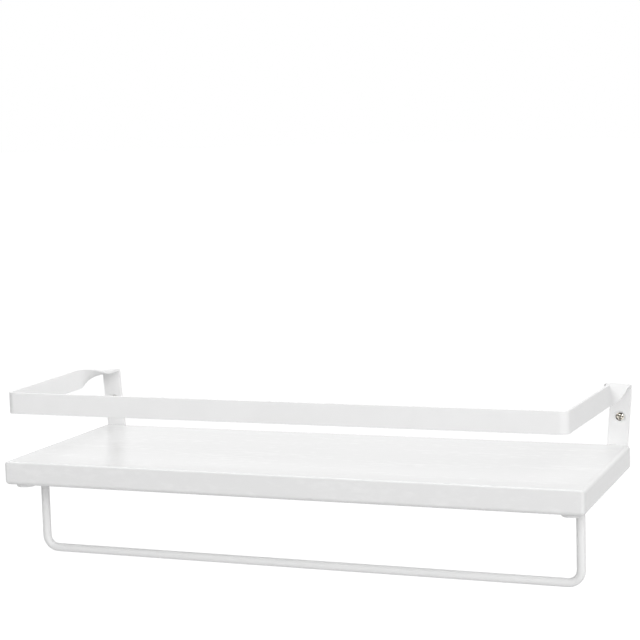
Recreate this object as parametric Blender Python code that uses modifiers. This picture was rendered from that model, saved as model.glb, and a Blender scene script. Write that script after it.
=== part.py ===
"""Wall-mounted towel rack with shelf: a painted board carried in one bent flat bar, over a round towel bar.

X runs along the wall, -Y points into the room and +Z up. The origin lies on the wall, midway between
the two wall screw holes. Lengths are in metres.
"""

import math

import bmesh
import bpy
import numpy as np
from mathutils import Matrix, Vector

# Board
BOARD_LENGTH = 0.420
BOARD_DEPTH = 0.155
BOARD_THICKNESS = 0.017
BOARD_EDGE_RADIUS = 0.003

# Frame, bent from one flat bar
BAR_WIDTH = 0.015
BAR_THICKNESS = 0.002
BAR_EASE = 0.0003
RAIL_HEIGHT = 0.051
RAIL_PROUD = 0.006
STRAP_INSET = 0.0022
LEG_LENGTH = 0.098
FLAT_RUN = 0.016
TWIST_RUN = 0.032
STRAP_LEAN = 0.0030
RAIL_SPLAY = 0.0040
TOP_BEND_RADIUS = 0.002
BOTTOM_BEND_RADIUS = 0.002
FRONT_BEND_RADIUS = 0.004

# Towel bar, a round rod with pressed ends
ROD_DIAMETER = 0.006
ROD_DROP = 0.0536
ROD_SETBACK = 0.038
ROD_INSET = 0.011
ROD_BEND_RADIUS = 0.009
ROD_TOP_BEND_RADIUS = 0.006
TAB_WIDTH = 0.0145
TAB_THICKNESS = 0.0022
TAB_SETBACK = 0.0055
TAB_PRESS_RUN = 0.007
TAB_RING_SHARES = [0, 0.08, 0.3, 0.6, 1]
TAB_PRESS_SHARES = [1, 0.8, 0.6, 0.4, 0.2]
TAB_TIP_FLAT_SHARE = 0.25

# Wall screws, countersunk in the straps
WALL_SCREW_RISE = 0.020
WALL_SCREW_DIAMETER = 0.0036
WALL_SCREW_HEAD_DIAMETER = 0.0064
WALL_SCREW_HEAD_DOME = 0.0005
WALL_SCREW_LENGTH = 0.0145
WALL_SCREW_POINT = 0.005
WALL_HOLE_PLAY = 0.0009
WALL_SINK_MARGIN = 0.0013

# Board screws, countersunk in the legs and in the towel bar's tabs
BOARD_SCREW_DIAMETER = 0.003
BOARD_SCREW_HEAD_DIAMETER = 0.0054
BOARD_SCREW_HEAD_DOME = 0.0002
BOARD_SCREW_COVER = 0.0045
BOARD_SCREW_POINT = 0.003
BOARD_HOLE_PLAY = 0.0003
BOARD_SINK_MARGIN = 0.0004
LEG_SCREW_FRONT_SPACE = 0.012
LEG_SCREW_REAR_SPACE = 0.015
TAB_SCREW_SETBACK = 0.0080

# Cross recess in every screw head
RECESS_SPAN = 0.0034
RECESS_WIDTH = 0.0008
RECESS_DEPTH = 0.0010

# Clearances
FIT_GAP = 0.0003
CUT_OVERRUN = 0.004
WELD_DISTANCE = 0.00001
SEAM_DISTANCE = 0.0001

# Facets
ARC_STEPS = 6
TWIST_STEPS = 16
EDGE_STEPS = 3
ROUND_SIDES = 20
DOME_SHARES = [0, 0.4, 0.75, 1]
SHARP_ANGLE = math.radians(35)
QUARTER_TURN = math.radians(90)

# Places that follow from the sizes
X, Y, Z = Vector((1, 0, 0)), Vector((0, 1, 0)), Vector((0, 0, 1))
HALF_BAR = BAR_THICKNESS / 2
ROD_RADIUS = ROD_DIAMETER / 2
BOARD_TOP = -WALL_SCREW_RISE
BOARD_UNDERSIDE = BOARD_TOP - BOARD_THICKNESS
BOARD_BACK = -BAR_THICKNESS - FIT_GAP
BOARD_FRONT = BOARD_BACK - BOARD_DEPTH
STRAP_X = BOARD_LENGTH / 2 - STRAP_INSET - BAR_WIDTH / 2
STRAP_Y = -HALF_BAR
WALL_SCREW_X = STRAP_X + STRAP_LEAN * WALL_SCREW_RISE / (RAIL_HEIGHT - BAR_WIDTH)
RAIL_FRONT = BOARD_FRONT - RAIL_PROUD
RAIL_MIDDLE = BOARD_TOP + RAIL_HEIGHT - BAR_WIDTH / 2
TWIST_START_Y = -BAR_THICKNESS - TOP_BEND_RADIUS - FLAT_RUN
LEG_MIDDLE = BOARD_UNDERSIDE + HALF_BAR
LEG_TIP = STRAP_Y - LEG_LENGTH
ROD_X = BOARD_LENGTH / 2 - ROD_INSET
ROD_Y = BOARD_FRONT + ROD_SETBACK
TAB_TIP = BOARD_FRONT + TAB_SETBACK
TAB_TOP = BOARD_UNDERSIDE - FIT_GAP
BOARD_SCREW_LENGTH = BOARD_THICKNESS - BOARD_SCREW_COVER
SIDES = {"left": -1, "right": 1}


def clear_scene():
    """Removes whatever the scene holds."""
    for obj in list(bpy.data.objects):
        bpy.data.objects.remove(obj, do_unlink=True)


def new_collection(name):
    """A collection under the scene."""
    collection = bpy.data.collections.new(name)
    bpy.context.scene.collection.children.link(collection)
    return collection


def new_material(name, colour, roughness, metallic=0.0):
    """A Principled material."""
    material = bpy.data.materials.new(name)
    material.use_nodes = True
    shader = material.node_tree.nodes["Principled BSDF"]
    shader.inputs["Base Color"].default_value = (*colour, 1.0)
    shader.inputs["Roughness"].default_value = roughness
    shader.inputs["Metallic"].default_value = metallic
    return material


def add_part(name, data, material, place=Matrix()):
    """One sub-part in the rack's own collection, under the wall datum."""
    part = bpy.data.objects.new(name, data)
    PARTS.objects.link(part)
    part.parent = DATUM
    part.matrix_world = place
    part.data.materials.clear()
    part.data.materials.append(material)
    return part


def add_helper(name, data, place=Matrix()):
    """A cutter or a guide, which isn't part of the rack."""
    helper = bpy.data.objects.new(name, data)
    HELPERS.objects.link(helper)
    helper.matrix_world = place
    helper.hide_render = True
    helper.display_type = "WIRE"
    return helper


def cut(part, cutter):
    """Takes the cutter's shape out of the part."""
    boolean = part.modifiers.new(cutter.name, "BOOLEAN")
    boolean.operation = "DIFFERENCE"
    boolean.solver = "EXACT"
    boolean.object = cutter


def finished_mesh(obj, name):
    """The evaluated mesh of an object, with its caps and seams welded and its round faces smooth."""
    graph = bpy.context.evaluated_depsgraph_get()
    mesh = bpy.data.meshes.new_from_object(obj.evaluated_get(graph))
    mesh.name = name
    shape = bmesh.new()
    shape.from_mesh(mesh)
    bmesh.ops.remove_doubles(shape, verts=shape.verts, dist=WELD_DISTANCE)
    bmesh.ops.recalc_face_normals(shape, faces=shape.faces)
    shape.to_mesh(mesh)
    shape.free()
    mesh.shade_smooth()
    mesh.set_sharp_from_angle(angle=SHARP_ANGLE)
    return mesh


def box_mesh(name, size):
    """A box round its own middle."""
    mesh = bpy.data.meshes.new(name)
    shape = bmesh.new()
    bmesh.ops.create_cube(shape, size=1)
    bmesh.ops.scale(shape, vec=size, verts=shape.verts)
    shape.to_mesh(mesh)
    shape.free()
    return mesh


def cone_mesh(name, low_radius, high_radius, low, high):
    """A cylinder or cone along Z, between two heights."""
    mesh = bpy.data.meshes.new(name)
    shape = bmesh.new()
    bmesh.ops.create_cone(
        shape,
        cap_ends=True,
        segments=ROUND_SIDES,
        radius1=low_radius,
        radius2=high_radius,
        depth=high - low,
        matrix=Matrix.Translation((0, 0, (low + high) / 2)),
    )
    shape.to_mesh(mesh)
    shape.free()
    return mesh


def turned_mesh(name, outline):
    """A solid turned round Z from its outline, which runs from the top to the bottom."""
    mesh = bpy.data.meshes.new(name + "_outline")
    steps = [(i, i + 1) for i in range(len(outline) - 1)]
    mesh.from_pydata([(radius, 0, height) for radius, height in outline], steps, [])
    turned = add_helper(name, mesh)
    turn = turned.modifiers.new("turn", "SCREW")
    turn.axis = "Z"
    turn.steps = ROUND_SIDES
    turn.render_steps = ROUND_SIDES
    turn.use_merge_vertices = True
    turn.merge_threshold = SEAM_DISTANCE
    mesh = finished_mesh(turned, name)
    bpy.data.objects.remove(turned)
    return mesh


def bend(corner, before, after, radius):
    """Points of a round bend at a corner, between the directions before and after it."""
    centre = corner + radius * (after - before)
    angles = [QUARTER_TURN * step / ARC_STEPS for step in range(ARC_STEPS + 1)]
    return [centre + radius * (before * math.sin(a) - after * math.cos(a)) for a in angles]


def poly_curve(name, points, tilts):
    """A curve of straight steps through the points and their mirror images, turned by the tilts."""
    both = points + [Vector((-p.x, p.y, p.z)) for p in reversed(points)]
    curve = bpy.data.curves.new(name, "CURVE")
    curve.dimensions = "3D"
    curve.twist_mode = "MINIMUM"
    curve.use_fill_caps = True
    spline = curve.splines.new("POLY")
    spline.points.add(len(both) - 1)
    for target, point, tilt in zip(spline.points, both, tilts + tilts[::-1]):
        target.co = (*point, 1)
        target.tilt = tilt
    return curve


def mesh_from_curve(curve):
    """The curve's own mesh, with the curve's object gone."""
    path = add_helper(curve.name, curve)
    mesh = finished_mesh(path, curve.name)
    bpy.data.objects.remove(path)
    return mesh


def leg_seats():
    """Name and place of each screw seat under the legs, with +Z out of the face."""
    downwards = Matrix.Rotation(2 * QUARTER_TURN, 4, "X")
    rows = {"front": LEG_TIP + LEG_SCREW_FRONT_SPACE, "rear": -BAR_THICKNESS - LEG_SCREW_REAR_SPACE}
    return {
        f"board_screw_{side}_{row}": Matrix.Translation((sign * STRAP_X, y, LEG_MIDDLE - HALF_BAR)) @ downwards
        for side, sign in SIDES.items()
        for row, y in rows.items()
    }


def tab_seats():
    """Name and place of each screw seat under the towel bar's tabs, with +Z out of the face."""
    downwards = Matrix.Rotation(2 * QUARTER_TURN, 4, "X")
    seat = Vector((0, TAB_TIP + TAB_SCREW_SETBACK, TAB_TOP - TAB_THICKNESS))
    return {
        f"bar_screw_{side}": Matrix.Translation(seat + sign * ROD_X * X) @ downwards
        for side, sign in SIDES.items()
    }


def wall_seats():
    """Name and place of each screw seat on the straps, with +Z out of the face into the room."""
    into_room = Matrix.Rotation(QUARTER_TURN, 4, "X")
    return {
        f"wall_screw_{side}": Matrix.Translation((sign * WALL_SCREW_X, -BAR_THICKNESS, 0)) @ into_room
        for side, sign in SIDES.items()
    }


def countersink(part, seats, thickness, hole, sink):
    """Cuts a hole through a plate at each seat, with a cone of 45 degrees for the screw's head."""
    far_end = -thickness - CUT_OVERRUN
    outline = [(0, CUT_OVERRUN), (sink + CUT_OVERRUN, CUT_OVERRUN), (hole, hole - sink), (hole, far_end), (0, far_end)]
    drill = turned_mesh("countersink", outline)
    for name, seat in seats.items():
        cut(part, add_helper(name + "_countersink", drill, seat))


def screw_mesh(name, head, shank, dome, length, point):
    """A raised countersunk screw with a cross recess, turned from its profile. Its head's rim is at zero."""
    outline = [(head * share, dome * (1 - share**2)) for share in DOME_SHARES]
    outline += [(shank, shank - head), (shank, point - length), (0, -length)]
    blank = add_helper(name + "_blank", turned_mesh(name + "_blank", outline))
    for index, (across, along) in enumerate([(RECESS_SPAN, RECESS_WIDTH), (RECESS_WIDTH, RECESS_SPAN)]):
        wing = box_mesh("recess", (across, along, 2 * RECESS_DEPTH))
        cut(blank, add_helper(f"{name}_recess_{index}", wing, Matrix.Translation((0, 0, dome))))
    return finished_mesh(blank, name)


def make_board():
    """The shelf board: eased edges, grooves that the legs lie in, and blind holes for the screws."""
    middle = Vector((0, (BOARD_FRONT + BOARD_BACK) / 2, (BOARD_TOP + BOARD_UNDERSIDE) / 2))
    mesh = box_mesh("shelf_board", (BOARD_LENGTH, BOARD_DEPTH, BOARD_THICKNESS))
    board = add_part("shelf_board", mesh, PAINTED_WOOD, Matrix.Translation(middle))
    ease = board.modifiers.new("eased_edges", "BEVEL")
    ease.width = BOARD_EDGE_RADIUS
    ease.segments = EDGE_STEPS
    ease.limit_method = "ANGLE"

    width = BAR_WIDTH + 2 * FIT_GAP
    front, rear = LEG_TIP - FIT_GAP, BOARD_BACK + CUT_OVERRUN
    low, high = BOARD_UNDERSIDE - CUT_OVERRUN, BOARD_UNDERSIDE + BAR_THICKNESS + FIT_GAP
    # Behind the groove the board's lower edge is chamfered, so that it clears the inside of the bend.
    inner = BOTTOM_BEND_RADIUS - FIT_GAP
    bend_y, bend_z = -BAR_THICKNESS - BOTTOM_BEND_RADIUS, BOARD_UNDERSIDE + BAR_THICKNESS + BOTTOM_BEND_RADIUS
    slant = Matrix.Rotation(-QUARTER_TURN / 2, 4, "X")
    for side, sign in SIDES.items():
        groove = box_mesh("groove", (width, rear - front, high - low))
        place = Matrix.Translation((sign * STRAP_X, (front + rear) / 2, (low + high) / 2))
        cut(board, add_helper(f"groove_{side}", groove, place))
        chamfer = box_mesh("chamfer", (width, 2 * CUT_OVERRUN, CUT_OVERRUN))
        offset = Matrix.Translation((0, 0, -inner - CUT_OVERRUN / 2))
        place = Matrix.Translation((sign * STRAP_X, bend_y, bend_z)) @ slant.inverted() @ offset
        cut(board, add_helper(f"groove_chamfer_{side}", chamfer, place))

    radius = BOARD_SCREW_DIAMETER / 2 + BOARD_HOLE_PLAY
    depth = BOARD_SCREW_LENGTH + BOARD_SINK_MARGIN
    for name, seat in {**leg_seats(), **tab_seats()}.items():
        pilot = cone_mesh("pilot", radius, radius, -depth, CUT_OVERRUN)
        cut(board, add_helper(name + "_pilot", pilot, seat))


def spring_open(mesh):
    """Leans the straps and their flats outward from the board up, and splays the side rails up to the twist."""
    bare_height = RAIL_HEIGHT - BAR_WIDTH
    places = [RAIL_FRONT, TWIST_START_Y - TWIST_RUN, TWIST_START_Y]
    for vertex in mesh.vertices:
        rise = min(max((vertex.co.z - BOARD_TOP) / bare_height, 0), 1)
        outward = np.interp(vertex.co.y, places, [0, RAIL_SPLAY, STRAP_LEAN])
        slope = np.interp(vertex.co.y, places, [0, 0, STRAP_LEAN / bare_height])
        vertex.co.z -= rise * slope * (abs(vertex.co.x) - STRAP_X)
        vertex.co.x += math.copysign(rise * outward, vertex.co.x)


def make_frame():
    """The legs, straps and rail, bent and twisted from one flat bar, then drilled."""
    section = bpy.data.curves.new("bar_section", "CURVE")
    section.dimensions = "2D"
    outline = section.splines.new("POLY")
    across, ease = BAR_WIDTH / 2, BAR_EASE
    eased = [
        (across, HALF_BAR - ease),
        (across - ease, HALF_BAR),
        (ease - across, HALF_BAR),
        (-across, HALF_BAR - ease),
        (-across, ease - HALF_BAR),
        (ease - across, -HALF_BAR),
        (across - ease, -HALF_BAR),
        (across, ease - HALF_BAR),
    ]
    outline.points.add(len(eased) - 1)
    for point, place in zip(outline.points, eased):
        point.co = (*place, 0, 1)
    outline.use_cyclic_u = True

    # From the right leg's tip, along the leg, up the strap and forward to the middle of the front.
    lower = Vector((STRAP_X, STRAP_Y, LEG_MIDDLE))
    upper = Vector((STRAP_X, STRAP_Y, RAIL_MIDDLE))
    front = Vector((STRAP_X, RAIL_FRONT + HALF_BAR, RAIL_MIDDLE))
    upright = [
        Vector((STRAP_X, LEG_TIP, LEG_MIDDLE)),
        lower - (BOTTOM_BEND_RADIUS + BAR_THICKNESS) * Y,
        *bend(lower, Y, Z, BOTTOM_BEND_RADIUS + HALF_BAR),
        lower + (BOTTOM_BEND_RADIUS + BAR_THICKNESS) * Z,
        upper - (TOP_BEND_RADIUS + BAR_THICKNESS) * Z,
        *bend(upper, Z, -Y, TOP_BEND_RADIUS + HALF_BAR),
    ]
    twist_start = Vector((STRAP_X, TWIST_START_Y, RAIL_MIDDLE))
    shares = [step / TWIST_STEPS for step in range(TWIST_STEPS + 1)]
    twist = [twist_start - share * TWIST_RUN * Y for share in shares]
    rail = bend(front, -Y, -X, FRONT_BEND_RADIUS + HALF_BAR)
    # The outer face of the side rail turns up to become the top of the flat, and the strap's wall side.
    turns = [-QUARTER_TURN * share for share in shares]
    tilts = [0.0] * len(upright) + turns + [-QUARTER_TURN] * len(rail)

    curve = poly_curve("rail_frame", upright + twist + rail, tilts)
    curve.bevel_mode = "OBJECT"
    curve.bevel_object = add_helper("bar_section", section)
    mesh = mesh_from_curve(curve)
    spring_open(mesh)
    frame = add_part("rail_frame", mesh, WHITE_POWDER_COAT)
    wall_hole = WALL_SCREW_DIAMETER / 2 + WALL_HOLE_PLAY
    wall_sink = WALL_SCREW_HEAD_DIAMETER / 2 + WALL_SINK_MARGIN
    countersink(frame, wall_seats(), BAR_THICKNESS, wall_hole, wall_sink)
    leg_hole = BOARD_SCREW_DIAMETER / 2 + BOARD_HOLE_PLAY
    leg_sink = BOARD_SCREW_HEAD_DIAMETER / 2 + BOARD_SINK_MARGIN
    countersink(frame, leg_seats(), BAR_THICKNESS, leg_hole, leg_sink)


def press_tabs(mesh):
    """Presses the rod's two ends flat against the board, and rounds their tips."""
    press_start = ROD_Y - ROD_TOP_BEND_RADIUS
    middle = TAB_TOP - ROD_RADIUS
    for vertex in mesh.vertices:
        run = press_start - vertex.co.y
        if run <= 0 or vertex.co.z < BOARD_UNDERSIDE - ROD_DROP / 2:
            continue
        share = min(run / TAB_PRESS_RUN, 1)
        pressed = share * share * (3 - 2 * share)
        half_height = ROD_RADIUS + (TAB_THICKNESS / 2 - ROD_RADIUS) * pressed
        from_tip = (vertex.co.y - TAB_TIP) / (TAB_WIDTH / 2)
        offset = vertex.co.z - middle
        if from_tip < TAB_RING_SHARES[1] / 2:
            offset *= half_height / ROD_RADIUS
        offset = max(-half_height, min(half_height, offset))
        vertex.co.z = TAB_TOP - half_height + offset
        spread = 1 + (TAB_WIDTH / ROD_DIAMETER - 1) * pressed
        if from_tip < 1:
            spread *= max(math.sqrt(max(1 - (1 - from_tip) ** 2, 0)), TAB_TIP_FLAT_SHARE)
        centre = math.copysign(ROD_X, vertex.co.x)
        vertex.co.x = centre + (vertex.co.x - centre) * spread


def make_towel_bar():
    """The round towel bar, a U with its ends bent forward, pressed flat and drilled."""
    tip = Vector((ROD_X, TAB_TIP, TAB_TOP - ROD_RADIUS))
    knee = Vector((ROD_X, ROD_Y, TAB_TOP - ROD_RADIUS))
    corner = Vector((ROD_X, ROD_Y, BOARD_UNDERSIDE - ROD_DROP))
    press_start = knee - ROD_TOP_BEND_RADIUS * Y
    # Rings stand close together where the tab's tip is round and where the rod is pressed.
    points = [
        *[tip + share * TAB_WIDTH / 2 * Y for share in TAB_RING_SHARES],
        *[press_start - share * TAB_PRESS_RUN * Y for share in TAB_PRESS_SHARES],
        *bend(knee, Y, -Z, ROD_TOP_BEND_RADIUS),
        *bend(corner, -Z, -X, ROD_BEND_RADIUS),
    ]
    curve = poly_curve("towel_bar", points, [0.0] * len(points))
    curve.bevel_depth = ROD_RADIUS
    curve.bevel_resolution = 4
    mesh = mesh_from_curve(curve)
    press_tabs(mesh)
    bar = add_part("towel_bar", mesh, WHITE_POWDER_COAT)
    hole = BOARD_SCREW_DIAMETER / 2 + BOARD_HOLE_PLAY
    sink = BOARD_SCREW_HEAD_DIAMETER / 2 + BOARD_SINK_MARGIN
    countersink(bar, tab_seats(), TAB_THICKNESS, hole, sink)


def make_screws(seats, mesh, margin):
    """One screw in each seat, its head's cone the fit gap clear of the countersink's."""
    sunk = Matrix.Translation((0, 0, FIT_GAP * math.sqrt(2) - margin))
    for name, seat in seats.items():
        add_part(name, mesh, NICKEL_PLATE, seat @ sunk)


clear_scene()
PARTS = new_collection("towel_rack_with_shelf")
HELPERS = new_collection("cutters_and_guides")
DATUM = bpy.data.objects.new("wall_datum", None)
PARTS.objects.link(DATUM)
PAINTED_WOOD = new_material("painted_wood", (0.86, 0.86, 0.85), 0.4)
WHITE_POWDER_COAT = new_material("white_powder_coat", (0.84, 0.84, 0.84), 0.35)
NICKEL_PLATE = new_material("nickel_plate", (0.62, 0.60, 0.55), 0.25, 1.0)

make_board()
make_frame()
make_towel_bar()
wall_screw = screw_mesh(
    "wall_screw",
    WALL_SCREW_HEAD_DIAMETER / 2,
    WALL_SCREW_DIAMETER / 2,
    WALL_SCREW_HEAD_DOME,
    WALL_SCREW_LENGTH,
    WALL_SCREW_POINT,
)
make_screws(wall_seats(), wall_screw, WALL_SINK_MARGIN)
board_screw = screw_mesh(
    "board_screw",
    BOARD_SCREW_HEAD_DIAMETER / 2,
    BOARD_SCREW_DIAMETER / 2,
    BOARD_SCREW_HEAD_DOME,
    BOARD_SCREW_LENGTH,
    BOARD_SCREW_POINT,
)
make_screws({**leg_seats(), **tab_seats()}, board_screw, BOARD_SINK_MARGIN)
bpy.context.view_layer.update()
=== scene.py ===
import math

import bpy
from mathutils import Matrix, Vector


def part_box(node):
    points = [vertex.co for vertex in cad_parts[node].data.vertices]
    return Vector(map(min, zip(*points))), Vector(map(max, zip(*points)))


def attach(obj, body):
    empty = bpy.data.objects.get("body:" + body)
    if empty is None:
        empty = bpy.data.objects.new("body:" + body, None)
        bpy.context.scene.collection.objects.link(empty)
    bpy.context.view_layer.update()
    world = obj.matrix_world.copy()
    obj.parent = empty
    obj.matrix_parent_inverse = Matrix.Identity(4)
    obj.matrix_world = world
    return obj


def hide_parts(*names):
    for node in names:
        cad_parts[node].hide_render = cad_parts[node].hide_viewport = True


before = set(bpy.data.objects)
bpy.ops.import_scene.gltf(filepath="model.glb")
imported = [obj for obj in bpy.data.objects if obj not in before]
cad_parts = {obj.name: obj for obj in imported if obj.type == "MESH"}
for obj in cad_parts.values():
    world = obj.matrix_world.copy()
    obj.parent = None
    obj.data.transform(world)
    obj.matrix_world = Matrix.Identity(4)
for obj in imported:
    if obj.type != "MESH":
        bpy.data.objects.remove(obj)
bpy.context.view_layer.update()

# ---- The view ----
# The rack is seen from its right and a little above its rail, through a long lens 1.3 m away, so that the
# board's top and right end both show and the left strap stands half behind the front rail.
VIEW_PLACE = Vector((0.43462, -1.19932, 0.21354))
VIEW_RIGHT = Vector((0.934591, 0.354598, -0.028269))
VIEW_UP = Vector((-0.014241, 0.116704, 0.993065))
FOCAL_LENGTH_MM = 96.2
SENSOR_WIDTH_MM = 36

lens = bpy.data.cameras.new("view")
lens.lens = FOCAL_LENGTH_MM
lens.sensor_width = SENSOR_WIDTH_MM
view = bpy.data.objects.new("view", lens)
turn = Matrix((VIEW_RIGHT, VIEW_UP, VIEW_RIGHT.cross(VIEW_UP))).transposed()
view.matrix_world = Matrix.Translation(VIEW_PLACE) @ turn.to_4x4()
scene = bpy.context.scene
scene.collection.objects.link(view)
scene.camera = view
scene.view_settings.view_transform = "Standard"

# ---- The studio ----
# A white room whose soft light fades out towards the left, which draws the left edges darker. A large softbox
# hangs overhead, two stand at the front and the front right, and the shadow falls on a pale floor well below.
WHITE = "#FFFFFF"
ROOM_LEFT, ROOM_RIGHT = 0.0, 0.92
SOFTBOXES = {
    # name: place and side in metres, power in watts
    "softbox_overhead": ((-0.3, -0.3, 2.1), 1.8, 23.5),
    "softbox_front_right": ((1.3, -1.9, 0.9), 1.3, 17.5),
    "softbox_front": ((0.2, -2.2, 0.6), 1.3, 9.2),
}
SOFTBOX_AIM = Vector((0, -0.08, -0.03))
FLOOR_PAPER = "#D6D6D6"
FLOOR_GLOW = 0.75
FLOOR_HEIGHT, FLOOR_SIDE = -1.2, 200


def linear(hex_colour):
    """The linear colour, with alpha, of an sRGB hex value."""
    shares = [int(hex_colour[i : i + 2], 16) / 255 for i in (1, 3, 5)]
    return (*[s / 12.92 if s <= 0.04045 else ((s + 0.055) / 1.055) ** 2.4 for s in shares], 1)


def add_node(tree, kind, settings, links=None):
    """A node with its settings, which are attributes or inputs, and the sockets linked into its inputs."""
    node = tree.nodes.new(kind)
    for key, value in settings.items():
        if key in node.bl_rna.properties.keys():
            setattr(node, key, value)
        else:
            node.inputs[key].default_value = value
    for key, socket in (links or {}).items():
        tree.links.new(socket, node.inputs[key])
    return node


def new_tree(owner):
    """The owner's emptied node tree."""
    owner.use_nodes = True
    owner.node_tree.nodes.clear()
    return owner.node_tree


def seen_directly(tree):
    """1 for rays from the camera, off gloss or through glass, and 0 for the rays that light the rack."""
    path = add_node(tree, "ShaderNodeLightPath", {})
    camera, gloss, glass = (path.outputs[f"Is {kind} Ray"] for kind in ("Camera", "Glossy", "Transmission"))
    either = add_node(tree, "ShaderNodeMath", {"operation": "MAXIMUM"}, {0: camera, 1: gloss})
    any_of_three = add_node(tree, "ShaderNodeMath", {"operation": "MAXIMUM"}, {0: either.outputs[0], 1: glass})
    return any_of_three.outputs[0]


room = bpy.data.worlds.new("white_room")
tree = new_tree(room)
towards = add_node(tree, "ShaderNodeTexCoord", {}).outputs["Generated"]
sideways = add_node(tree, "ShaderNodeSeparateXYZ", {}, {"Vector": towards}).outputs["X"]
# A direction's X runs from -1 at the left to 1 at the right.
sides = {"From Min": -1, "From Max": 1, "To Min": ROOM_LEFT, "To Max": ROOM_RIGHT}
dimmed = add_node(tree, "ShaderNodeMapRange", sides, {"Value": sideways})
lit = {"Value": seen_directly(tree), "To Min": dimmed.outputs[0]}
strength = add_node(tree, "ShaderNodeMapRange", {"To Max": 1}, lit)
walls = add_node(tree, "ShaderNodeBackground", {"Color": linear(WHITE)}, {"Strength": strength.outputs[0]})
add_node(tree, "ShaderNodeOutputWorld", {}, {"Surface": walls.outputs[0]})
scene.world = room

for name, (place, side, watts) in SOFTBOXES.items():
    lamp = bpy.data.lights.new(name, "AREA")
    lamp.size = side
    lamp.energy = watts
    softbox = bpy.data.objects.new(name, lamp)
    turn = (Vector(place) - SOFTBOX_AIM).to_track_quat("Z", "Y")
    softbox.matrix_world = Matrix.Translation(place) @ turn.to_matrix().to_4x4()
    scene.collection.objects.link(softbox)

bpy.ops.object.select_all(action="DESELECT")
bpy.ops.mesh.primitive_plane_add(size=FLOOR_SIDE, location=(0, 0, FLOOR_HEIGHT))
floor = bpy.context.object
floor.name = "studio_floor"
paper = bpy.data.materials.new("pale_paper")
tree = new_tree(paper)
matt = add_node(tree, "ShaderNodeBsdfDiffuse", {"Color": linear(FLOOR_PAPER)})
lift = add_node(tree, "ShaderNodeMath", {"operation": "MULTIPLY", 1: FLOOR_GLOW}, {0: seen_directly(tree)})
glow = add_node(tree, "ShaderNodeEmission", {"Color": linear(WHITE)}, {"Strength": lift.outputs[0]})
both = add_node(tree, "ShaderNodeAddShader", {}, {0: matt.outputs[0], 1: glow.outputs[0]})
add_node(tree, "ShaderNodeOutputMaterial", {}, {"Surface": both.outputs[0]})
floor.data.materials.append(paper)

# ---- Shelf board ----
# A softwood board planed to 17 mm, its edges rounded over with a router, then sprayed with white satin
# paint that still shows a little grain. Grooves under it take the frame's legs, and blind holes the screws.
BOARD_LOW, BOARD_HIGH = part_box("shelf_board")
BOARD_ROUND, TOP_ROUND_SHARE, BOARD_ROUND_STEPS = 0.003, 0.4, 6
LEG_X = 0.2003
GROOVE_WIDTH, GROOVE_DEPTH, GROOVE_FRONT = 0.0156, 0.0023, -0.0993
BEND_Y, LOWER_BEND_Z = -0.004, -0.033
CHAMFER_SIDE, CHAMFER_FROM_BEND = 0.0034, 0.0017
OVERRUN = 0.002
DOWNWARDS = Matrix.Rotation(math.pi, 4, "X")
BOARD_SCREW_FRONT, BOARD_SCREW_REAR = -0.087, -0.017
ROD_X, BAR_SCREW_Y, TAB_UNDERSIDE = 0.199, -0.1438, -0.0395
SCREW_SEATS = {
    # where the screws under the board go, with +Z out of the seat on the screw head's side
    name.format(side): Matrix.Translation((sign * x, y, z)) @ DOWNWARDS
    for side, sign in (("left", -1), ("right", 1))
    for name, x, y, z in (
        ("board_screw_{}_front", LEG_X, BOARD_SCREW_FRONT, BOARD_LOW.z),
        ("board_screw_{}_rear", LEG_X, BOARD_SCREW_REAR, BOARD_LOW.z),
        ("bar_screw_{}", ROD_X, BAR_SCREW_Y, TAB_UNDERSIDE),
    )
}
PILOT_RADIUS, PILOT_DEPTH = 0.0018, 0.0129
TURNED_SIDES = 48
SMOOTH_BELOW = math.radians(32)


def add_block(name, low, high):
    """A cube primitive brought to size between two corners."""
    bpy.ops.object.select_all(action="DESELECT")
    bpy.ops.mesh.primitive_cube_add(size=1, location=(Vector(low) + Vector(high)) / 2)
    block = bpy.context.object
    block.name = block.data.name = name
    block.scale = Vector(high) - Vector(low)
    bpy.ops.object.transform_apply(location=True, rotation=True, scale=True)
    return block


def put(piece, place):
    """Moves and turns the piece's mesh, so that its object stays at the origin."""
    piece.data.transform(place)
    piece.data.update()


def add_turned(name, rings):
    """A solid of revolution round Z: a disc extruded from ring to ring."""
    (radius, height), *others = rings
    bpy.ops.object.select_all(action="DESELECT")
    bpy.ops.mesh.primitive_circle_add(
        vertices=TURNED_SIDES, radius=radius, fill_type="NGON", location=(0, 0, height)
    )
    turned = bpy.context.object
    turned.name = turned.data.name = name
    bpy.ops.object.transform_apply(location=True, rotation=True, scale=True)
    bpy.ops.object.mode_set(mode="EDIT")
    bpy.ops.mesh.select_all(action="SELECT")
    for next_radius, next_height in others:
        bpy.ops.mesh.extrude_region_move(TRANSFORM_OT_translate={"value": (0, 0, next_height - height)})
        share = next_radius / radius
        bpy.ops.transform.resize(value=(share, share, 1), center_override=(0, 0, next_height))
        radius, height = next_radius, next_height
    bpy.ops.mesh.select_all(action="SELECT")
    bpy.ops.mesh.normals_make_consistent(inside=False)
    bpy.ops.object.mode_set(mode="OBJECT")
    return turned


def combine(piece, tool, operation="DIFFERENCE"):
    """Cuts the tool's shape out of the piece, or welds it on, and deletes the tool."""
    boolean = piece.modifiers.new("shape", "BOOLEAN")
    boolean.operation = operation
    boolean.solver = "EXACT"
    boolean.object = tool
    bpy.context.view_layer.objects.active = piece
    bpy.ops.object.modifier_apply(modifier=boolean.name)
    bpy.data.objects.remove(tool)


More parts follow.
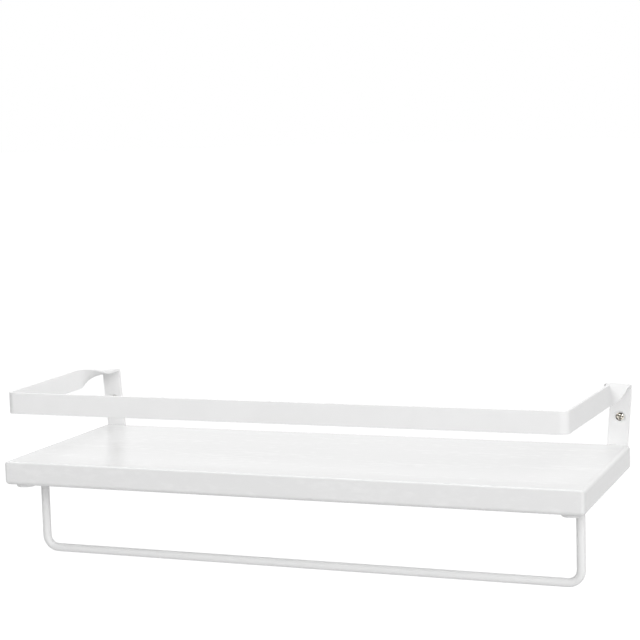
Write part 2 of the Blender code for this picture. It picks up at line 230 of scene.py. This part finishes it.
def finish_piece(piece, material, slot, *nodes):
    """Smooths the round faces only, and gives the piece its material and its place in the model."""
    bpy.ops.object.select_all(action="DESELECT")
    piece.select_set(True)
    bpy.context.view_layer.objects.active = piece
    bpy.ops.object.shade_smooth_by_angle(angle=SMOOTH_BELOW)
    weighted = piece.modifiers.new("flat_faces_stay_flat", "WEIGHTED_NORMAL")
    weighted.keep_sharp = True
    bpy.ops.object.modifier_apply(modifier=weighted.name)
    piece.data.materials.clear()
    piece.data.materials.append(material)
    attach(piece, "root")
    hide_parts(*nodes)


board = add_block("painted_board", BOARD_LOW, BOARD_HIGH)
weights = board.data.attributes.new("bevel_weight_edge", "FLOAT", "EDGE")
for edge in board.data.edges:
    # The router took less off the two long edges on top than off all the others.
    start, end = (board.data.vertices[corner].co for corner in edge.vertices)
    long_on_top = start.x != end.x and start.z > BOARD_LOW.z + BOARD_ROUND
    weights.data[edge.index].value = TOP_ROUND_SHARE if long_on_top else 1
rounding = board.modifiers.new("rounding", "BEVEL")
rounding.width = BOARD_ROUND
rounding.segments = BOARD_ROUND_STEPS
rounding.limit_method = "WEIGHT"
bpy.ops.object.modifier_apply(modifier=rounding.name)
for sign in (-1, 1):
    low = Vector((sign * LEG_X - GROOVE_WIDTH / 2, GROOVE_FRONT, BOARD_LOW.z - OVERRUN))
    high = Vector((sign * LEG_X + GROOVE_WIDTH / 2, BOARD_HIGH.y + OVERRUN, BOARD_LOW.z + GROOVE_DEPTH))
    combine(board, add_block("groove", low, high))
    # The groove's rear end is chamfered, because the leg turns up there in a round bend.
    from_bend = (CHAMFER_FROM_BEND + CHAMFER_SIDE / 2) / math.sqrt(2)
    chamfer = add_block(
        "chamfer",
        (-GROOVE_WIDTH / 2, -CHAMFER_SIDE / 2, -CHAMFER_SIDE / 2),
        (GROOVE_WIDTH / 2, CHAMFER_SIDE / 2, CHAMFER_SIDE / 2),
    )
    put(
        chamfer,
        Matrix.Translation((sign * LEG_X, BEND_Y + from_bend, LOWER_BEND_Z - from_bend))
        @ Matrix.Rotation(math.pi / 4, 4, "X"),
    )
    combine(board, chamfer)
for seat in SCREW_SEATS.values():
    pilot = add_turned("pilot_hole", [(PILOT_RADIUS, OVERRUN), (PILOT_RADIUS, -PILOT_DEPTH)])
    put(pilot, seat)
    combine(board, pilot)

# Satin paint on planed softwood. The eye sees slow streaks and short wrinkles along the grain, a sheen that
# mirrors the straps at a low angle, and close short strokes across the ends. The ends are painted a darker
# grey than the rest, which is painted shade.
PAINT_LIGHT, PAINT_DARK, PAINT_SHADED_END = "#F1F1F1", "#ECECEC", "#E0E0E0"
PAINT_IOR, PAINT_SPECULAR = 1.48, 0.3
PAINT_SMOOTH, PAINT_ROUGH = 0.18, 0.22
PAINT_BUMP, PAINT_BUMP_HEIGHT = 0.08, 0.00012
GRAIN_RUN, GRAIN_SPACING, GRAIN_WAVER = 0.090, 0.0160, 0.4
WRINKLE_RUN, WRINKLE_SPACING, WRINKLE_WEIGHT = 0.009, 0.0040, 1.5
STROKE_RUN, STROKE_SPACING = 0.030, 0.0034
PATTERN_ROUGHNESS = 0.55
DARKEST_RELIEF, LIGHTEST_RELIEF = 1.25, 1.75
END_STARTS, END_IS_FULL = 0.6, 0.95
paint = bpy.data.materials.new("satin_paint_on_softwood")
tree = new_tree(paint)
place = add_node(tree, "ShaderNodeTexCoord", {})
patterns = []
for run, spacing, across_end, detail, waver in (
    (GRAIN_RUN, GRAIN_SPACING, False, 1, GRAIN_WAVER),
    (WRINKLE_RUN, WRINKLE_SPACING, False, 2, 0),
    (STROKE_RUN, STROKE_SPACING, True, 2, 0),
):
    scale = (1 / spacing, 1 / run, 1 / spacing) if across_end else (1 / run, 1 / spacing, 1 / spacing)
    laid = add_node(tree, "ShaderNodeMapping", {"Scale": scale}, {"Vector": place.outputs["Object"]})
    noise = {"Scale": 1, "Detail": detail, "Roughness": PATTERN_ROUGHNESS, "Distortion": waver}
    patterns.append(add_node(tree, "ShaderNodeTexNoise", noise, {"Vector": laid.outputs[0]}).outputs[0])
grain, wrinkles, strokes = patterns
# How far a face looks sideways tells the ends from the rest.
facing = add_node(tree, "ShaderNodeSeparateXYZ", {}, {"Vector": place.outputs["Normal"]})
sideways = add_node(tree, "ShaderNodeMath", {"operation": "ABSOLUTE"}, {0: facing.outputs["X"]})
end_range = {"From Min": END_STARTS, "From Max": END_IS_FULL}
at_end = add_node(tree, "ShaderNodeMapRange", end_range, {"Value": sideways.outputs[0]})
lines = add_node(tree, "ShaderNodeMix", {"data_type": "FLOAT"}, {0: at_end.outputs[0], 2: grain, 3: strokes})
adding = {"operation": "MULTIPLY_ADD", 1: WRINKLE_WEIGHT}
relief = add_node(tree, "ShaderNodeMath", adding, {0: wrinkles, 2: lines.outputs[0]})
tone_range = {"From Min": DARKEST_RELIEF, "From Max": LIGHTEST_RELIEF}
tone = add_node(tree, "ShaderNodeMapRange", tone_range, {"Value": relief.outputs[0]})
colours = {"data_type": "RGBA", 6: linear(PAINT_DARK), 7: linear(PAINT_LIGHT)}
colour = add_node(tree, "ShaderNodeMix", colours, {0: tone.outputs[0]})
# Painted shade: the end faces get a darker grey than the top, front, back and underside.
shaded_ends = {"data_type": "RGBA", 7: linear(PAINT_SHADED_END)}
colour = add_node(tree, "ShaderNodeMix", shaded_ends, {0: at_end.outputs[0], 6: colour.outputs[2]})
gloss_range = {"To Min": PAINT_SMOOTH, "To Max": PAINT_ROUGH}
gloss = add_node(tree, "ShaderNodeMapRange", gloss_range, {"Value": tone.outputs[0]})
bumps = {"Strength": PAINT_BUMP, "Distance": PAINT_BUMP_HEIGHT}
bump = add_node(tree, "ShaderNodeBump", bumps, {"Height": relief.outputs[0]})
shader = add_node(
    tree,
    "ShaderNodeBsdfPrincipled",
    {"IOR": PAINT_IOR, "Specular IOR Level": PAINT_SPECULAR},
    {"Base Color": colour.outputs[2], "Roughness": gloss.outputs[0], "Normal": bump.outputs[0]},
)
add_node(tree, "ShaderNodeOutputMaterial", {}, {"Surface": shader.outputs[0]})
finish_piece(board, paint, "painted_wood", "shelf_board")

# ---- Rail frame ----
# One flat steel bar, 15 x 2 mm with rolled edges, bent cold: leg, strap up the wall, flat forward, a quarter
# twist, side rail, front rail and the same back. It is drilled, countersunk and coated with white powder.
BAR_WIDTH, BAR_THICKNESS, BAR_EASE, BAR_EASE_STEPS = 0.015, 0.002, 0.0003, 3
FRONT_Y, RAIL_Z = -0.1623, 0.0235
FRONT_BEND, REAR_BEND, BEND_STEPS = 0.005, 0.003, 12
TWIST_FRONT, TWIST_REAR, TWIST_STEPS = -0.0565, -0.0155, 40
TWIST_EASE = 0.25
SPLAY, LEAN = 0.004, 0.003
LEAN_TOP, LEAN_FOOT = 0.016, -0.020
TILT = math.atan2(LEAN, LEAN_TOP - LEAN_FOOT)
LEG_TIP = -0.099
WALL_SCREW_X = 0.201967
WALL_HOLE, WALL_SINK = 0.0027, 0.0045
SCREW_HOLE, SCREW_SINK = 0.0018, 0.0031
QUARTER_TURN = math.pi / 2
# Corners nearer to each other than this are in one place.
ONE_PLACE = 0.000003
INTO_ROOM = Matrix.Rotation(QUARTER_TURN, 4, "X")


def push(x=0.0, y=0.0, z=0.0):
    """Extrudes the selected ring by an offset."""
    bpy.ops.mesh.extrude_region_move(TRANSFORM_OT_translate={"value": (x, y, z)})


def bend(centre, axis, angle):
    """Extrudes the selected ring round a bend. The operator counts its angle the other way."""
    bpy.ops.mesh.spin(steps=BEND_STEPS, angle=-angle, center=centre, axis=axis)


def ring_of_plane(name, place, rotation, width, thickness, ease, steps):
    """The open outline of a flat bar: a plane with its corners rounded and its face taken out."""
    bpy.ops.object.select_all(action="DESELECT")
    bpy.ops.mesh.primitive_plane_add(size=1, location=place, rotation=rotation)
    ring = bpy.context.object
    ring.name = ring.data.name = name
    ring.scale = (width, thickness, 1)
    bpy.ops.object.transform_apply(location=True, rotation=True, scale=True)
    bpy.ops.object.mode_set(mode="EDIT")
    bpy.ops.mesh.select_all(action="SELECT")
    bpy.ops.mesh.bevel(offset=ease, segments=steps, affect="VERTICES")
    bpy.ops.mesh.select_all(action="SELECT")
    bpy.ops.mesh.delete(type="ONLY_FACE")
    bpy.ops.mesh.select_all(action="SELECT")
    return ring


def mirror_half(piece):
    """Adds the left half to the right one and turns all faces outwards."""
    mirror = piece.modifiers.new("left_half", "MIRROR")
    mirror.merge_threshold = ONE_PLACE
    bpy.context.view_layer.objects.active = piece
    bpy.ops.object.modifier_apply(modifier=mirror.name)
    bpy.ops.object.mode_set(mode="EDIT")
    bpy.ops.mesh.select_all(action="SELECT")
    bpy.ops.mesh.normals_make_consistent(inside=False)
    bpy.ops.object.mode_set(mode="OBJECT")


def countersink(piece, seat, thickness, hole, sink):
    """Drills a hole down the seat's own Z axis, with a cone of 45 degrees for a screw's head."""
    drill = add_turned("drill", [(sink + OVERRUN, OVERRUN), (hole, hole - sink), (hole, -thickness - OVERRUN)])
    put(drill, seat)
    combine(piece, drill)


rail = ring_of_plane(
    "bent_flat_bar",
    (0, FRONT_Y, RAIL_Z),
    (0, QUARTER_TURN, 0),
    BAR_WIDTH,
    BAR_THICKNESS,
    BAR_EASE,
    BAR_EASE_STEPS,
)
push(x=LEG_X - FRONT_BEND)
bend((LEG_X - FRONT_BEND, FRONT_Y + FRONT_BEND, RAIL_Z), (0, 0, 1), QUARTER_TURN)
push(x=SPLAY, y=TWIST_FRONT - FRONT_Y - FRONT_BEND)
turned = 0
for step in range(1, TWIST_STEPS + 1):
    # The twist turns the side rail's outer face up, and leaves it square to the strap, which leans out. It runs
    # evenly but for a soft start and end.
    share = step / TWIST_STEPS
    start, end = min(share, TWIST_EASE), max(share - 1 + TWIST_EASE, 0)
    eased = (share - start + (start**2 - end**2) / (2 * TWIST_EASE)) / (1 - TWIST_EASE)
    angle = (QUARTER_TURN - TILT) * eased
    push(x=(LEAN - SPLAY) / TWIST_STEPS, y=(TWIST_REAR - TWIST_FRONT) / TWIST_STEPS)
    middle = (LEG_X + SPLAY + (LEAN - SPLAY) * share, TWIST_FRONT + (TWIST_REAR - TWIST_FRONT) * share, RAIL_Z)
    bpy.ops.transform.rotate(value=angle - turned, orient_axis="Y", center_override=middle)
    turned = angle
push(y=BEND_Y - TWIST_REAR)
inwards, down = REAR_BEND * math.sin(TILT), REAR_BEND * math.cos(TILT)
bend((LEG_X + LEAN - inwards, BEND_Y, RAIL_Z - down), (math.cos(TILT), 0, -math.sin(TILT)), -QUARTER_TURN)
push(z=LEAN_TOP - RAIL_Z + down)
push(x=inwards - LEAN, z=LEAN_FOOT - LEAN_TOP)
bpy.ops.transform.rotate(value=TILT, orient_axis="Y", center_override=(LEG_X, BEND_Y + REAR_BEND, LEAN_FOOT))
push(z=LOWER_BEND_Z - LEAN_FOOT)
bend((LEG_X, BEND_Y, LOWER_BEND_Z), (1, 0, 0), -QUARTER_TURN)
push(y=LEG_TIP - BEND_Y)
bpy.ops.mesh.edge_face_add()
bpy.ops.object.mode_set(mode="OBJECT")
mirror_half(rail)
for sign in (-1, 1):
    seat = Matrix.Translation((sign * WALL_SCREW_X, -BAR_THICKNESS, 0)) @ INTO_ROOM
    countersink(rail, seat, BAR_THICKNESS, WALL_HOLE, WALL_SINK)
for name, seat in SCREW_SEATS.items():
    if name.startswith("board_screw"):
        countersink(rail, seat, BAR_THICKNESS, SCREW_HOLE, SCREW_SINK)

# White matt powder coat, baked on. The eye sees a low orange peel a millimetre or so across and hardly any
# sheen, with slow clouds where the coat is a little thicker or thinner.
COAT_LIGHT, COAT_DARK = "#F3F3F3", "#F1F1F1"
COAT_IOR, COAT_SPECULAR = 1.5, 0.3
COAT_SMOOTH, COAT_ROUGH = 0.42, 0.52
COAT_BUMP, COAT_BUMP_HEIGHT = 0.25, 0.00008
PEEL_SPACING, PEEL_DETAIL = 0.0011, 1.5
CLOUD_SPACING, CLOUD_DETAIL = 0.019, 2
THIN_CLOUD, THICK_CLOUD = 0.35, 0.65
coat = bpy.data.materials.new("white_powder_coat_on_steel")
tree = new_tree(coat)
place = add_node(tree, "ShaderNodeTexCoord", {}).outputs["Object"]
peels = {"Scale": 1 / PEEL_SPACING, "Detail": PEEL_DETAIL}
peel = add_node(tree, "ShaderNodeTexNoise", peels, {"Vector": place})
clouds = {"Scale": 1 / CLOUD_SPACING, "Detail": CLOUD_DETAIL}
cloud = add_node(tree, "ShaderNodeTexNoise", clouds, {"Vector": place})
tone_range = {"From Min": THIN_CLOUD, "From Max": THICK_CLOUD}
tone = add_node(tree, "ShaderNodeMapRange", tone_range, {"Value": cloud.outputs[0]})
colours = {"data_type": "RGBA", 6: linear(COAT_DARK), 7: linear(COAT_LIGHT)}
colour = add_node(tree, "ShaderNodeMix", colours, {0: tone.outputs[0]})
gloss_range = {"To Min": COAT_SMOOTH, "To Max": COAT_ROUGH}
gloss = add_node(tree, "ShaderNodeMapRange", gloss_range, {"Value": cloud.outputs[0]})
bumps = {"Strength": COAT_BUMP, "Distance": COAT_BUMP_HEIGHT}
bump = add_node(tree, "ShaderNodeBump", bumps, {"Height": peel.outputs[0]})
shader = add_node(
    tree,
    "ShaderNodeBsdfPrincipled",
    {"IOR": COAT_IOR, "Specular IOR Level": COAT_SPECULAR},
    {"Base Color": colour.outputs[2], "Roughness": gloss.outputs[0], "Normal": bump.outputs[0]},
)
add_node(tree, "ShaderNodeOutputMaterial", {}, {"Surface": shader.outputs[0]})
finish_piece(rail, coat, "white_powder_coat", "rail_frame")

# ---- Towel bar ----
# A 6 mm steel rod bent to a U, its two ends bent forward under the board and pressed flat into tabs, which
# are drilled and countersunk. It has the same white powder coat as the frame.
ROD_RADIUS, ROD_SIDES = 0.003, 32
ROD_Y, ROD_Z = -0.1193, -0.0906
CORNER_BEND, KNEE_BEND = 0.009, 0.006
TAB_REAR, TAB_TIP, TAB_TOP = -0.1323, -0.1518, -0.0373
TAB_WIDTH, TAB_THICKNESS, TAB_EASE = 0.0145, TAB_TOP - TAB_UNDERSIDE, 0.001
KNEE_Z = TAB_TOP - ROD_RADIUS
PRESS_CUTS, TIP_STEPS = 7, 12

bpy.ops.object.select_all(action="DESELECT")
bpy.ops.mesh.primitive_circle_add(
    vertices=ROD_SIDES, radius=ROD_RADIUS, location=(0, ROD_Y, ROD_Z), rotation=(0, QUARTER_TURN, 0)
)
bar = bpy.context.object
bar.name = bar.data.name = "bent_round_bar"
bpy.ops.object.transform_apply(location=True, rotation=True, scale=True)
bpy.ops.object.mode_set(mode="EDIT")
bpy.ops.mesh.select_all(action="SELECT")
push(x=ROD_X - CORNER_BEND)
bend((ROD_X - CORNER_BEND, ROD_Y, ROD_Z + CORNER_BEND), (0, 1, 0), -QUARTER_TURN)
push(z=KNEE_Z - KNEE_BEND - ROD_Z - CORNER_BEND)
bend((ROD_X, ROD_Y - KNEE_BEND, KNEE_Z - KNEE_BEND), (1, 0, 0), QUARTER_TURN)
bpy.ops.object.mode_set(mode="OBJECT")

tab_middle = TAB_TOP - TAB_THICKNESS / 2
ring_of_plane(
    "pressed_tab",
    (ROD_X, TAB_REAR, tab_middle),
    (QUARTER_TURN, 0, 0),
    TAB_WIDTH,
    TAB_THICKNESS,
    TAB_EASE,
    ROD_SIDES // 4 - 1,
)
push(y=TAB_TIP + TAB_WIDTH / 2 - TAB_REAR)
turned = 0
for step in range(1, TIP_STEPS):
    # The tip is a half circle seen from below.
    angle = QUARTER_TURN * step / TIP_STEPS
    push(y=-(math.sin(angle) - math.sin(turned)) * TAB_WIDTH / 2)
    narrower = math.cos(angle) / math.cos(turned)
    bpy.ops.transform.resize(value=(narrower, 1, 1), center_override=(ROD_X, TAB_TIP, tab_middle))
    turned = angle
bpy.ops.mesh.edge_face_add()
bpy.ops.object.mode_set(mode="OBJECT")

# The tab's rear outline has as many corners as the rod, and a bridge between the two is the pressed neck.
bar.select_set(True)
bpy.context.view_layer.objects.active = bar
bpy.ops.object.join()
bpy.ops.object.mode_set(mode="EDIT")
bpy.ops.mesh.select_all(action="DESELECT")
bpy.ops.object.mode_set(mode="OBJECT")
for vertex in bar.data.vertices:
    vertex.select = any(abs(vertex.co.y - y) < ONE_PLACE for y in (ROD_Y - KNEE_BEND, TAB_REAR))
bpy.ops.object.mode_set(mode="EDIT")
bpy.ops.mesh.bridge_edge_loops(number_cuts=PRESS_CUTS, interpolation="LINEAR")
bpy.ops.object.mode_set(mode="OBJECT")
mirror_half(bar)
for name, seat in SCREW_SEATS.items():
    if name.startswith("bar_screw"):
        countersink(bar, seat, TAB_THICKNESS, SCREW_HOLE, SCREW_SINK)
finish_piece(bar, coat, "white_powder_coat", "towel_bar")

# ---- Screws ----
# Countersunk steel screws with a cross recess and a rolled thread: two long ones through the straps into the
# wall, four short ones through the legs and two through the towel bar's tabs, all eight nickel plated.
WALL_HEAD, SHORT_HEAD = 0.0029, 0.0027
SEAT_GAP = 0.0003
DOME_SHARES = (0.15, 0.3, 0.45, 0.6, 0.75, 0.88, 1)
RECESS_SPAN, RECESS_WIDTH, RECESS_DEPTH = 0.0034, 0.0009, 0.0014
RECESS_FOOT_SPAN, RECESS_FOOT_WIDTH = 0.45, 0.7
THREAD_STEPS, THREAD_WIDTH, THREAD_ROOT = 24, 0.8, 0.0002
POINT_END_SHARE = 0.06


def add_screw(name, head, dome, crest, core, pitch, neck, length, point):
    """A screw along Z, its head's rim at zero: a turned body, a coiled thread and a cross recess."""
    rings = [(head * share, dome * (1 - share**2)) for share in DOME_SHARES]
    # Under the dome come the head's cone, the plain neck and the thread's core.
    rings += [(crest, crest - head), (crest, -neck), (core, -neck - crest + core), (core, -length)]
    screw = add_turned(name, rings)

    # The thread is a triangle coiled down the body. Its corners lie 1, -0.5 and -0.5 from its middle.
    bpy.ops.object.select_all(action="DESELECT")
    bpy.ops.mesh.primitive_circle_add(vertices=3, radius=1)
    thread = bpy.context.object
    depth = (crest - core + THREAD_ROOT) / 1.5
    upright = Matrix.Rotation(QUARTER_TURN, 4, "X") @ Matrix.Rotation(-QUARTER_TURN, 4, "Z")
    size = Matrix.Diagonal((depth, 1, THREAD_WIDTH * pitch / math.sqrt(3), 1))
    put(thread, Matrix.Translation((crest - depth, 0, -neck - pitch / 2)) @ size @ upright)
    coil = thread.modifiers.new("coil", "SCREW")
    coil.screw_offset = -pitch
    coil.iterations = int((length - neck - pitch) / pitch)
    coil.steps = coil.render_steps = THREAD_STEPS
    bpy.ops.object.modifier_apply(modifier=coil.name)
    bpy.ops.object.mode_set(mode="EDIT")
    bpy.ops.mesh.select_all(action="SELECT")
    bpy.ops.mesh.fill_holes(sides=3)
    bpy.ops.mesh.select_all(action="SELECT")
    bpy.ops.mesh.normals_make_consistent(inside=False)
    bpy.ops.object.mode_set(mode="OBJECT")
    # Core and thread narrow together towards the point.
    for vertex in [*screw.data.vertices, *thread.data.vertices]:
        share = (vertex.co.z + length) / point
        vertex.co.xy *= min(max(share, POINT_END_SHARE), 1)
    combine(screw, thread, "UNION")

    # Two wings, wider at the mouth than at the foot, make the cross.
    for across, along in ((RECESS_SPAN, RECESS_WIDTH), (RECESS_WIDTH, RECESS_SPAN)):
        foot = dome - RECESS_DEPTH
        wing = add_block("recess", (-across / 2, -along / 2, foot), (across / 2, along / 2, dome + OVERRUN))
        for vertex in wing.data.vertices:
            vertex.select = vertex.co.z < dome
        bpy.ops.object.mode_set(mode="EDIT")
        narrower = (RECESS_FOOT_SPAN, RECESS_FOOT_WIDTH, 1)
        bpy.ops.transform.resize(value=narrower if across > along else (narrower[1], narrower[0], 1))
        bpy.ops.object.mode_set(mode="OBJECT")
        combine(screw, wing)
    return screw


# Nickel plate over steel, barrel polished. The eye sees a warm, bright metal broken up by small, nearly black
# patches of painted reflection, finely scuffed all over, and dark in the recess and down in the thread.
NICKEL_LIGHT, NICKEL_PAINTED_DARK_REFLECTION = "#F0EADE", "#1E1B16"
NICKEL_SMOOTH, NICKEL_ROUGH = 0.12, 0.26
NICKEL_BUMP, NICKEL_BUMP_HEIGHT = 0.4, 0.00004
SCUFF_SPACING, SCUFF_DETAIL = 0.00035, 3
REFLECTION_PATCH_SPACING, REFLECTION_PATCH_DETAIL = 0.0013, 2
PAINTED_DARK_BELOW, BRIGHT_METAL_ABOVE = 0.45, 0.57
nickel = bpy.data.materials.new("barrel_polished_nickel")
tree = new_tree(nickel)
place = add_node(tree, "ShaderNodeTexCoord", {}).outputs["Object"]
scuffs = {"Scale": 1 / SCUFF_SPACING, "Detail": SCUFF_DETAIL}
scuff = add_node(tree, "ShaderNodeTexNoise", scuffs, {"Vector": place})
# Painted reflection: small patches of near-black base colour stand in for the dark surroundings that the nickel
# mirrors.
reflection_patches = {"Scale": 1 / REFLECTION_PATCH_SPACING, "Detail": REFLECTION_PATCH_DETAIL}
painted_reflection = add_node(tree, "ShaderNodeTexNoise", reflection_patches, {"Vector": place})
tone_range = {"From Min": PAINTED_DARK_BELOW, "From Max": BRIGHT_METAL_ABOVE}
tone = add_node(tree, "ShaderNodeMapRange", tone_range, {"Value": painted_reflection.outputs[0]})
colours = {"data_type": "RGBA", 6: linear(NICKEL_PAINTED_DARK_REFLECTION), 7: linear(NICKEL_LIGHT)}
colour = add_node(tree, "ShaderNodeMix", colours, {0: tone.outputs[0]})
gloss_range = {"To Min": NICKEL_SMOOTH, "To Max": NICKEL_ROUGH}
gloss = add_node(tree, "ShaderNodeMapRange", gloss_range, {"Value": scuff.outputs[0]})
bumps = {"Strength": NICKEL_BUMP, "Distance": NICKEL_BUMP_HEIGHT}
bump = add_node(tree, "ShaderNodeBump", bumps, {"Height": scuff.outputs[0]})
shader = add_node(
    tree,
    "ShaderNodeBsdfPrincipled",
    {"Metallic": 1},
    {"Base Color": colour.outputs[2], "Roughness": gloss.outputs[0], "Normal": bump.outputs[0]},
)
add_node(tree, "ShaderNodeOutputMaterial", {}, {"Surface": shader.outputs[0]})

wall_screw = add_screw(
    "wall_screw",
    head=WALL_HEAD,
    dome=0.0005,
    crest=0.0018,
    core=0.00125,
    pitch=0.0014,
    neck=0.003,
    length=0.0142,
    point=0.005,
)
short_screw = add_screw(
    "short_screw",
    head=SHORT_HEAD,
    dome=0.0002,
    crest=0.0015,
    core=0.00105,
    pitch=0.0011,
    neck=0.002,
    length=0.0125,
    point=0.003,
)
WALL_SEATS = {
    f"wall_screw_{side}": Matrix.Translation((sign * WALL_SCREW_X, -BAR_THICKNESS, 0)) @ INTO_ROOM
    for side, sign in (("left", -1), ("right", 1))
}
for pattern, head, sink, seats in (
    (wall_screw, WALL_HEAD, WALL_SINK, WALL_SEATS),
    (short_screw, SHORT_HEAD, SCREW_SINK, SCREW_SEATS),
):
    # Both cones slope at 45 degrees, and the gap between head and countersink is measured square to them.
    rim = head + SEAT_GAP * math.sqrt(2) - sink
    for node, seat in seats.items():
        screw = pattern.copy()
        screw.data = pattern.data.copy()
        scene.collection.objects.link(screw)
        screw.name = screw.data.name = f"threaded_{node}"
        put(screw, seat @ Matrix.Translation((0, 0, rim)))
        finish_piece(screw, nickel, "nickel_plate", node)
    bpy.data.objects.remove(pattern)
